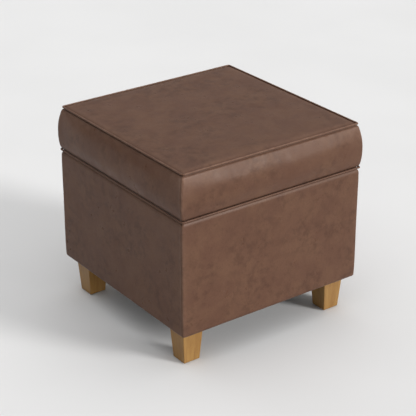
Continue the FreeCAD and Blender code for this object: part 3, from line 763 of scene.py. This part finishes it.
def patch(stops):
    """A grid of points that fills a rounded square; stops are the stations along one side."""
    lower = side_curve(stops, PANEL_HALF, PANEL_CORNER)
    upper = lower * np.array([1, -1])
    left = lower[:, ::-1]
    right = left * np.array([-1, 1])
    share = (stops + PANEL_HALF) / (2 * PANEL_HALF)
    a = share[None, :, None]
    b = share[:, None, None]
    corners = (
        (1 - a) * (1 - b) * lower[0] + a * (1 - b) * lower[-1] + (1 - a) * b * upper[0] + a * b * upper[-1]
    )
    points = (1 - b) * lower[None] + b * upper[None] + (1 - a) * left[:, None] + a * right[:, None]
    return points - corners


def roll_height(points):
    """The top panel's height: flat in the middle, rolling down to the seam at the welt."""
    inside = PANEL_HALF - np.abs(points)
    roll = (1 - (1 - np.clip(inside / PANEL_ROLL, 0, 1)) ** ROLL_POWER) ** (1 / ROLL_POWER)
    crown = 1 - (np.abs(points) / PANEL_HALF) ** 2
    flat = seat_z + 0.2 * MM - PANEL_SEAM_Z
    return PANEL_SEAM_Z + flat * roll[..., 0] * roll[..., 1] + PANEL_RISE * crown[..., 0] * crown[..., 1]


def panel_swell():
    """How far the simulated top panel lifts, on an even grid."""
    count = 76
    stops = np.linspace(-PANEL_HALF, PANEL_HALF, count)
    points = patch(stops)
    grid = np.concatenate([points, roll_height(points)[..., None]], axis=2)
    pins = np.zeros((count, count))
    pins[0] = pins[-1] = pins[:, 0] = pins[:, -1] = 1.0
    moved = simulate("panel_cloth", grid.reshape(-1, 3), grid_faces(count, count), pins.ravel(), 1.5, 0.006)
    lift = np.clip(moved.reshape(grid.shape)[..., 2] - grid[..., 2], -CUSHION_CAP, CUSHION_CAP)
    return 0.5 * eased(eased(lift, 5, 0.4, False).T, 5, 0.4, False).T


def make_top_panel():
    """The seat's leather: nearly flat, rolled down and slightly gathered along the welt."""
    edge_steps = np.array(EDGE_STEPS) * MM
    inner = PANEL_HALF - edge_steps[-1]
    middle = np.linspace(-inner, inner, 74)[1:-1]
    stops = np.concatenate([-PANEL_HALF + edge_steps, middle, (PANEL_HALF - edge_steps)[::-1]])
    count = len(stops)
    points = patch(stops)
    grid = np.concatenate([points, roll_height(points)[..., None]], axis=2)
    swell = panel_swell()
    place = (stops + PANEL_HALF) / (2 * PANEL_HALF) * (swell.shape[0] - 1)
    rows = np.repeat(place[:, None], count, axis=1)
    columns = np.repeat(place[None, :], count, axis=0)
    inside = np.min(PANEL_HALF - np.abs(grid[..., :2]), axis=2)
    height = bilinear(swell, rows, columns, False)
    slow = (field(grid, 11.0, 5) * 0.6 + field(grid, 34.0, 6) * 0.18) * MM
    height += slow * smooth_step(inside / (25 * MM))
    gather = field(grid, 105.0, 7) * 0.25 * MM
    height += gather * np.exp(-inside / (9 * MM)) * smooth_step(inside / (2 * MM))
    grid[..., 2] += height
    # Painted shade in the crease along the welt, and a painted highlight band a little inside it where the
    # panel rolls down.
    grime = np.clip(np.exp(-inside / (1.6 * MM)) * 0.7, 0, 0.8)
    rub = np.clip(bell(inside, 6 * MM, 9 * MM) * 0.22, 0, 1)
    piece = grid_object("top_panel_leather", grid, rub=rub, grime=grime)
    thicken(piece, LEATHER)
    dress(piece, "lid", "leather", LEATHER_MATERIAL, "lid_top_cover")


def make_filling():
    """The foam block, which fills the boxing, and the fibre pad that softens its top."""
    clear = LEATHER + 1.3 * MM
    board_half, board_top = half_of("lid_board"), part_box("lid_board")[1].z
    foam_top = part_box("lid_fibre_pad")[0].z
    rows = [(half, board_top, 6 * MM) for half in (60 * MM, 140 * MM, board_half - 3 * MM)]
    for number in range(16):
        half, height, _ = barrel_row(number / 15, BARREL_BULGE)
        if board_top + 1 * MM < height < foam_top - 1 * MM:
            rows.append((half - clear, height, 5 * MM))
    rows += [(226 * MM, foam_top, 6 * MM), (140 * MM, foam_top, 6 * MM), (60 * MM, foam_top, 6 * MM)]
    foam = band_object("foam_block", band(rows))
    close_band(foam, len(rows))
    dress(foam, "lid", "foam", FOAM, "lid_foam")

    pad_half = PANEL_HALF - 4 * MM
    rows = [(60 * MM, foam_top + 0.1 * MM, 6 * MM), (pad_half - 5 * MM, foam_top + 0.1 * MM, 6 * MM)]
    for inside in PAD_STEPS:
        edge = np.array([PANEL_HALF - inside * MM, 0.0])
        rows.append((edge[0], float(roll_height(edge)) - LEATHER - 1.1 * MM, 6 * MM))
    rows.append((60 * MM, seat_z - LEATHER - 0.2 * MM, 6 * MM))
    pad = band_object("fibre_pad", band(rows))
    close_band(pad, len(rows))
    dress(pad, "lid", "padding", WADDING, "lid_fibre_pad")


def close_band(thing, rows, fan=False):
    """Close a whole band: a cap at each end, or a fan of triangles in its last row only."""
    mesh = bmesh.new()
    mesh.from_mesh(thing.data)
    mesh.verts.ensure_lookup_table()
    first = [mesh.verts[index] for index in range(ROUND.count)]
    last = [mesh.verts[(rows - 1) * ROUND.count + index] for index in range(ROUND.count)]
    if fan:
        centre = mesh.verts.new(sum((vert.co for vert in last), Vector()) / len(last))
        for index, vert in enumerate(last):
            mesh.faces.new((vert, last[(index + 1) % len(last)], centre))
    else:
        mesh.faces.new(reversed(first))
        mesh.faces.new(last)
    mesh.to_mesh(thing.data)
    mesh.free()


# ---- lid: welts

def tube(half, height, radius, around):
    """A round tube along a rounded square, as a band whose rows close on themselves."""
    rows = []
    for step in range(around):
        angle = 2 * math.pi * step / around - math.pi / 2
        out = radius * math.cos(angle)
        rows.append((half + out, height + radius * math.sin(angle), WELT_CORNER + out))
    return band(rows)


def make_welt(name, half, height, pale_amount, seed):
    """A leather sleeve, slightly uneven, sewn round a cotton cord and lapped at the back."""
    grid = tube(half, height, WELT_RADIUS, 16)
    normals = grid_normals(grid, wrap_rows=True)
    uneven = field(grid, 45.0, seed) * 0.14 * MM + field(grid, 160.0, seed + 1) * 0.08 * MM
    lap = np.abs(grid[..., 0] + 0.06) + np.where(grid[..., 1] < 0, 9.0, 0.0)
    uneven += 0.30 * MM * bell(lap, 5 * MM)
    uneven -= 0.45 * MM * bell(lap, 0.7 * MM, 6.2 * MM)
    grid = grid + normals * uneven[..., None]
    # Painted highlight on the upward-facing side, scaled per welt, and painted shade on the underside.
    facing = normals[..., 2]
    rub = np.clip(0.2 + 0.5 * facing, 0, 0.7) * pale_amount
    grime = np.clip(-0.9 * facing, 0, 0.75)
    sleeve = band_object(f"{name}_leather", grid, closed_rows=True, rub=rub, grime=grime)
    thicken(sleeve, 0.7 * MM)
    dress(sleeve, "lid", "leather", LEATHER_MATERIAL, name)
    core = tube(half, height, WELT_RADIUS - 1.0 * MM, 10)
    cord = band_object(f"{name}_cord_cotton", core, closed_rows=True)
    dress(cord, "lid", "welt_cord", CORD, f"{name}_cord")


# ---- base cover

BASE_CORNER = 4 * MM
RIM_ROUND = 6.0 * MM
RIM_DROP = 11 * MM
FOOT_ROUND = 5.5 * MM


def arc_rows(half, height, radius, start, end, steps, corner):
    """Rows on a quarter arc about (half, height)."""
    rows = []
    for step in range(steps + 1):
        angle = math.radians(start + (end - start) * step / steps)
        rows.append((half + radius * math.cos(angle), height + radius * math.sin(angle), corner))
    return rows


def make_base_cover():
    """The leather round the base: under the edge, up the walls, over the rim and down inside."""
    return_half = 202 * MM
    inner = panel_in - LEATHER
    low, high = base_low.z, base_high.z
    inner_round = 2.5 * MM
    rows = [(return_half, low, 2 * MM)]
    rows += [
        (half * MM, low, 3 * MM)
        for half in (206, 212, 218, 224, 228)
        if half * MM < base_half - FOOT_ROUND - 1 * MM
    ]
    rows += arc_rows(base_half - FOOT_ROUND, low + FOOT_ROUND, FOOT_ROUND, -90, 0, 7, BASE_CORNER)
    wall_rows = 44
    wall_low, wall_high = low + FOOT_ROUND, high - RIM_DROP
    for number in range(1, wall_rows):
        rows.append((base_half, wall_low + (wall_high - wall_low) * number / wall_rows, BASE_CORNER))
    for step in range(13):
        turn = math.radians(90 * step / 12)
        rows.append(
            (base_half - RIM_ROUND * (1 - math.cos(turn)), wall_high + RIM_DROP * math.sin(turn), BASE_CORNER)
        )
    rows += [(half * MM, high, 3.5 * MM) for half in (226, 222.5, 219.5)]
    rows += [
        (half, height, 2.5 * MM)
        for half, height, _ in arc_rows(inner + inner_round, high - inner_round, inner_round, 90, 180, 5, 0)
    ]
    inner_rows = 7
    inner_high = high - inner_round
    for number in range(1, inner_rows + 1):
        rows.append((inner, inner_high - (inner_high - return_low) * number / inner_rows, 2.5 * MM))
    grid = band(rows)
    normals = grid_normals(grid)
    distance = seam_distance(grid)

    outside = (grid[..., 2] > low + 1 * MM) & (np.abs(grid[..., :2]).max(axis=2) > base_half - 9 * MM)
    rise = (grid[..., 2] - low) / (high - low)
    fullness = smooth_step((grid[..., 2] - low) / (30 * MM)) * smooth_step((high - grid[..., 2]) / (30 * MM))
    height = np.where(outside, 0.5 * MM * fullness, 0.0)
    slow = field(grid, 8.0, 11) * 0.55 * MM + field(grid, 26.0, 12) * 0.16 * MM
    height += np.where(outside, slow * (0.25 + 0.75 * fullness), slow * 0.15)
    pull = field(grid * np.array([1.0, 1.0, 0.18]), 85.0, 13) * 0.30 * MM
    near_edges = np.exp(-rise * BASE_TALL / 10) + 0.6 * np.exp(-(1 - rise) * BASE_TALL / 14)
    height += np.where(outside, pull * near_edges, 0)
    on_wall = outside.astype(float)
    height += seam_relief(distance, 0.28 * MM, 0.30 * MM) * on_wall
    seam_pucker = field(grid * np.array([0.2, 0.2, 1.0]), 150.0, 14)
    height += seam_pucker * 0.20 * MM * np.exp(-distance / (7 * MM)) * on_wall
    under = np.array([abs(row[1] - low) < 0.5 * MM for row in rows])
    height += np.where(under[:, None], corner_pleats(grid, 224.5 * MM, 231 * MM), 0.0)
    grid = grid + normals * height[..., None]

    # Painted shade in the corner seam grooves and along the wall's lower edge; painted highlight on the seam
    # ridges and the rounded rim under the bottom welt; the corner term also adds rubbed wear.
    groove = bell(distance, 0.8 * MM)
    lip = bell(distance, 1.3 * MM, 2.3 * MM)
    grime = np.clip(groove * 0.06 * on_wall + np.exp(-rise * BASE_TALL / 2.5) * 0.5 * on_wall, 0, 0.9)
    painted_rim_highlight = bell((1 - rise) * BASE_TALL, 3.0, 3.0) * on_wall
    rub = np.clip((lip * 0.3 + corner_wear_and_sheen(grid) * 0.4) * on_wall + painted_rim_highlight * 0.35, 0, 1)
    for side in SIDES:
        piece = band_object(f"base_{side}_leather", grid, side_stations(side), rub=rub, grime=grime)
        thicken(piece, LEATHER)
        dress(piece, "base", "leather", LEATHER_MATERIAL, f"base_cover_{side}")


# ---- padding and cloth

def turned(points, side):
    """Points drawn for the front, turned to another side."""
    for _ in range(SIDES.index(side)):
        points = np.stack([-points[..., 1], points[..., 0], points[..., 2]], axis=-1)
    return points


def wall_grid(half_width, low, high, depth, columns, rows):
    """An upright grid on the front, (rows, columns, 3), facing outwards."""
    x = np.linspace(-half_width, half_width, columns)
    z = np.linspace(low, high, rows)
    grid = np.zeros((rows, columns, 3))
    grid[..., 0] = x[None, :]
    grid[..., 1] = -depth
    grid[..., 2] = z[:, None]
    return grid


def make_padding():
    """Wadding between the side panels and the leather, thinner towards its edges."""
    panel_out = -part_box("front_panel")[0].y
    face = base_half - LEATHER - 0.8 * MM
    for side in SIDES:
        grid = wall_grid(227 * MM, base_low.z + 8 * MM, base_high.z - 10 * MM, face, 60, 34)
        edge_x = 227 * MM - np.abs(grid[..., 0])
        edge_z = np.minimum(grid[..., 2] - grid[0, 0, 2], grid[-1, 0, 2] - grid[..., 2])
        edge = np.minimum(edge_x, edge_z)
        grid[..., 1] += 2.5 * MM * (1 - smooth_step(edge / (12 * MM)))
        grid[..., 1] += 0.25 * MM * field(grid, 60.0, 31)
        pad = grid_object(f"padding_{side}_wadding", turned(grid, side))
        thicken(pad, face - panel_out - 3 * MM)
        dress(pad, "base", "padding", WADDING, f"padding_{side}")


def make_wall_linings():
    """Dark lining cloth glued to the walls of the well, with slight waves."""
    low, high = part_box("lining_front")[0].z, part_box("lining_front")[1].z
    face = panel_in - 0.08 * MM
    half_width = panel_in - CLOTH - 0.1 * MM
    for number, side in enumerate(SIDES):
        grid = wall_grid(half_width, low + 0.1 * MM, high - 0.1 * MM, face, 90, 44)
        from_ends = np.minimum(grid[..., 2] - low, high - grid[..., 2])
        inside = np.minimum(half_width - np.abs(grid[..., 0]), from_ends)
        waves = field(grid * np.array([1.0, 1.0, 0.35]), 22.0, 41 + number)
        waves = waves + 0.5 * field(grid, 55.0, 51 + number)
        grid[..., 1] += 0.9 * MM * np.clip(waves + 0.3, 0, 2) * smooth_step(inside / (22 * MM))
        cloth = grid_object(f"well_lining_{side}", turned(grid, side))
        thicken(cloth, CLOTH - 0.1 * MM)
        dress(cloth, "base", "lining_cloth", LINING_CLOTH, f"lining_{side}")


def make_floor_lining():
    """Lining cloth laid over the bottom board."""
    low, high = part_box("lining_floor")
    count = 90
    half_width = high.x - 0.8 * MM
    x = np.linspace(-half_width, half_width, count)
    grid = np.zeros((count, count, 3))
    grid[..., 0] = x[None, :]
    grid[..., 1] = x[:, None]
    inside = half_width - np.max(np.abs(grid[..., :2]), axis=2)
    waves = np.clip(field(grid, 17.0, 61) + 0.4 * field(grid, 45.0, 62) + 0.2, 0, 2)
    grid[..., 2] = high.z - 0.05 * MM + 0.8 * MM * waves * smooth_step(inside / (25 * MM))
    cloth = grid_object("well_lining_floor", grid)
    thicken(cloth, CLOTH - 0.1 * MM)
    dress(cloth, "base", "lining_cloth", LINING_CLOTH, "lining_floor")


HEM = 14 * MM
CLOTH_LAYER = 0.25 * MM
HEMMED_STEPS = (4, 9, 16, 26, 40, 56, 74, 94, 116, 140, 164, 186)  # mm in from the edge


def hemmed_rows(half, low, high):
    """Rows of a square cloth whose folded hem lies above it, in to a small middle square."""
    hem_z = high - 0.02 * MM - CLOTH_LAYER
    face_z = low + 0.02 * MM
    rows = [(half - inside, hem_z, 2 * MM) for inside in (HEM, HEM / 2, 0.3 * MM)]
    rows += [(half, (hem_z + face_z) / 2, 2 * MM), (half - 0.3 * MM, face_z, 2 * MM)]
    rows += [(half - inside * MM, face_z, 2 * MM) for inside in HEMMED_STEPS]
    return rows


def make_hemmed_cloth(name, node, body, slot_name, material, sag, seed):
    """A square of thin cloth with its raw edge folded under and stapled."""
    low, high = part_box(node)
    rows = hemmed_rows(high.x, low.z, high.z)
    grid = band(rows)
    level = np.array([row[1] for row in rows]) < (low.z + high.z) / 2 - 0.05 * MM
    inside = high.x - np.max(np.abs(grid[..., :2]), axis=2)
    ripples = field(grid, 26.0, seed) + 0.5 * field(grid, 70.0, seed + 1)
    loose = smooth_step((inside - 8 * MM) / (60 * MM)) * smooth_step(leg_distance(grid) / (45 * MM))
    grid[..., 2] -= np.where(level[:, None], loose * sag * (0.6 + 0.5 * ripples), 0.0)
    cloth = band_object(name, grid)
    close_band(cloth, len(rows), fan=True)
    thicken(cloth, CLOTH_LAYER, 1.0)
    dress(cloth, body, slot_name, material, node)


def leg_distance(grid):
    """Distance from each point to the nearest leg's edge, seen from below."""
    nearest = np.full(grid.shape[:2], 9.0)
    for corner in LEG_CORNERS:
        low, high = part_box(f"leg_{corner}")
        dx = np.maximum(np.maximum(low.x - grid[..., 0], grid[..., 0] - high.x), 0)
        dy = np.maximum(np.maximum(low.y - grid[..., 1], grid[..., 1] - high.y), 0)
        nearest = np.minimum(nearest, np.hypot(dx, dy))
    return nearest


# ---- CAD nodes that stay

STAYING = (
    (("leg_block", "cleat"), PINE, 0.0),
    (("locating_strip",), PINE, 0.8 * MM),
    (("leg_glides",), NYLON, 0.0),
    (("leg_",), OAK, 0.0),
    (("front_panel", "back_panel", "left_panel", "right_panel", "bottom_board", "lid_board"), PLY, 0.0),
)
FASTENERS = ("screws", "staples", "t_nuts", "bolts")


def finish_node(name, material, bevel):
    """A better material, and eased edges where asked, on a CAD node that stays."""
    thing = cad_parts[name]
    thing.data.materials.clear()
    thing.data.materials.append(material)
    if bevel:
        ease = thing.modifiers.new("eased_edges", "BEVEL")
        ease.width = bevel
        ease.segments = 2
        ease.limit_method = "ANGLE"
        ease.angle_limit = math.radians(40)


def finish_nodes():
    """Wood, nylon and steel on the CAD nodes that no mesh piece replaces."""
    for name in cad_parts:
        if name.endswith(FASTENERS):
            finish_node(name, STEEL, 0.0)
            continue
        for starts, material, bevel in STAYING:
            if name.startswith(starts):
                finish_node(name, material, bevel)
                break


# ---- stage

CAMERA_AZIMUTH = -36.19
CAMERA_ELEVATION = 25.37
CAMERA_DISTANCE = 3.142
CAMERA_LENS = 120.2
AIM_LIFT = 0.8 * MM
CENTRE = (cad_low + cad_high) / 2

FLOOR_RADIUS = 60
FLOOR_STEPS = 48
SKY_SHARPNESS = 3.0
SKY_AT_HORIZON = 0.11
SKY_OVERHEAD = 1.86
# name, azimuth, elevation, strength, width in degrees, colour
SOFTBOXES = (
    ("key", 29, 24, 1.86, 16, (1.0, 0.99, 0.98)),
    ("front_softbox", 30, 7, 1.08, 18, (1.0, 0.99, 0.98)),
    ("back_glow", 144, 28, 0.09, 44, (0.98, 0.99, 1.0)),
    ("back_fill", 187, 9, 0.35, 40, (0.98, 0.99, 1.0)),
)


def direction(azimuth, elevation):
    """Unit vector from the object towards an azimuth and elevation; azimuth 0 is the front."""
    a, e = math.radians(azimuth), math.radians(elevation)
    return Vector((math.sin(a) * math.cos(e), -math.cos(a) * math.cos(e), math.sin(e)))


def put_facing(name, data, centre, azimuth, elevation, distance):
    """An object that looks at a centre from an azimuth, elevation and distance."""
    away = direction(azimuth, elevation)
    thing = bpy.data.objects.new(name, data)
    thing.location = centre + away * distance
    thing.rotation_mode = "QUATERNION"
    thing.rotation_quaternion = (-away).to_track_quat("-Z", "Y")
    bpy.context.scene.collection.objects.link(thing)
    return thing


def make_camera():
    lens = bpy.data.cameras.new("camera")
    lens.lens = CAMERA_LENS
    lens.sensor_width = 36
    centre = CENTRE + Vector((0, 0, AIM_LIFT))
    view = (CAMERA_AZIMUTH, CAMERA_ELEVATION, CAMERA_DISTANCE)
    bpy.context.scene.camera = put_facing("camera", lens, centre, *view)


def make_sun(name, azimuth, elevation, strength, spread, colour):
    """A broad distant softbox, as a sun lamp of a wide angle in degrees."""
    lamp = bpy.data.lights.new(name, "SUN")
    lamp.energy = strength
    lamp.angle = math.radians(spread)
    lamp.color = colour
    put_facing(name, lamp, CENTRE, azimuth, elevation, 3)


def make_sky():
    """A studio sky, bright overhead and dim round the sides."""
    world = bpy.data.worlds.new("studio")
    world.use_nodes = True
    tree = world.node_tree
    place = tree.nodes.new("ShaderNodeTexCoord")
    split = tree.nodes.new("ShaderNodeSeparateXYZ")
    rise = tree.nodes.new("ShaderNodeMath")
    rise.operation = "POWER"
    rise.use_clamp = True
    rise.inputs[1].default_value = SKY_SHARPNESS
    level = tree.nodes.new("ShaderNodeMapRange")
    level.inputs["To Min"].default_value = SKY_AT_HORIZON
    level.inputs["To Max"].default_value = SKY_OVERHEAD
    tree.nodes["Background"].inputs["Color"].default_value = (1.0, 1.0, 1.0, 1.0)
    tree.links.new(place.outputs["Generated"], split.inputs["Vector"])
    tree.links.new(split.outputs["Z"], rise.inputs[0])
    tree.links.new(rise.outputs["Value"], level.inputs["Value"])
    tree.links.new(level.outputs["Result"], tree.nodes["Background"].inputs["Strength"])
    bpy.context.scene.world = world


def make_stage():
    """A plain pale floor that is clear from below, the sky and the softboxes."""
    n = Nodes("floor_white")
    shade = n.noise(2.0, 2.0)
    n.colour(n.mix(n.remap(shade, 0.3, 0.7), (0.73, 0.73, 0.73), (0.75, 0.75, 0.75)))
    n.fix("Roughness", 0.9)
    n.fix("Specular IOR Level", 0.1)
    clear = n.add("ShaderNodeBsdfTransparent")
    side = n.add("ShaderNodeMixShader")
    n.link(n.add("ShaderNodeNewGeometry").outputs["Backfacing"], side.inputs["Fac"])
    n.link(n.shader.outputs["BSDF"], side.inputs[1])
    n.link(clear.outputs["BSDF"], side.inputs[2])
    n.link(side.outputs["Shader"], n.tree.nodes["Material Output"].inputs["Surface"])
    ring = []
    for step in range(FLOOR_STEPS):
        angle = 2 * math.pi * step / FLOOR_STEPS
        ring.append((FLOOR_RADIUS * math.cos(angle), FLOOR_RADIUS * math.sin(angle), 0.0))
    floor = make_object("floor", ring, [tuple(range(FLOOR_STEPS))])
    floor.data.materials.append(n.material)
    make_sky()
    for lamp in SOFTBOXES:
        make_sun(*lamp)
    bpy.context.scene.view_settings.view_transform = "Standard"


# ---- build

make_camera()
make_stage()
make_boxing()
make_top_panel()
make_filling()
make_welt("top_welt", top_welt_half, top_welt_z, 1.0, 21)
make_welt("bottom_welt", low_welt_half, low_welt_z, 0.65, 23)
make_base_cover()
make_padding()
make_wall_linings()
make_floor_lining()
make_hemmed_cloth(
    "dust_cover_cloth", "dust_cover", "base", "dust_cloth", DUST_CLOTH, 1.2 * MM, 71
)
make_hemmed_cloth(
    "lid_lining_cloth", "lid_lining", "lid", "lining_cloth", LINING_CLOTH, 0.0, 73
)
finish_nodes()
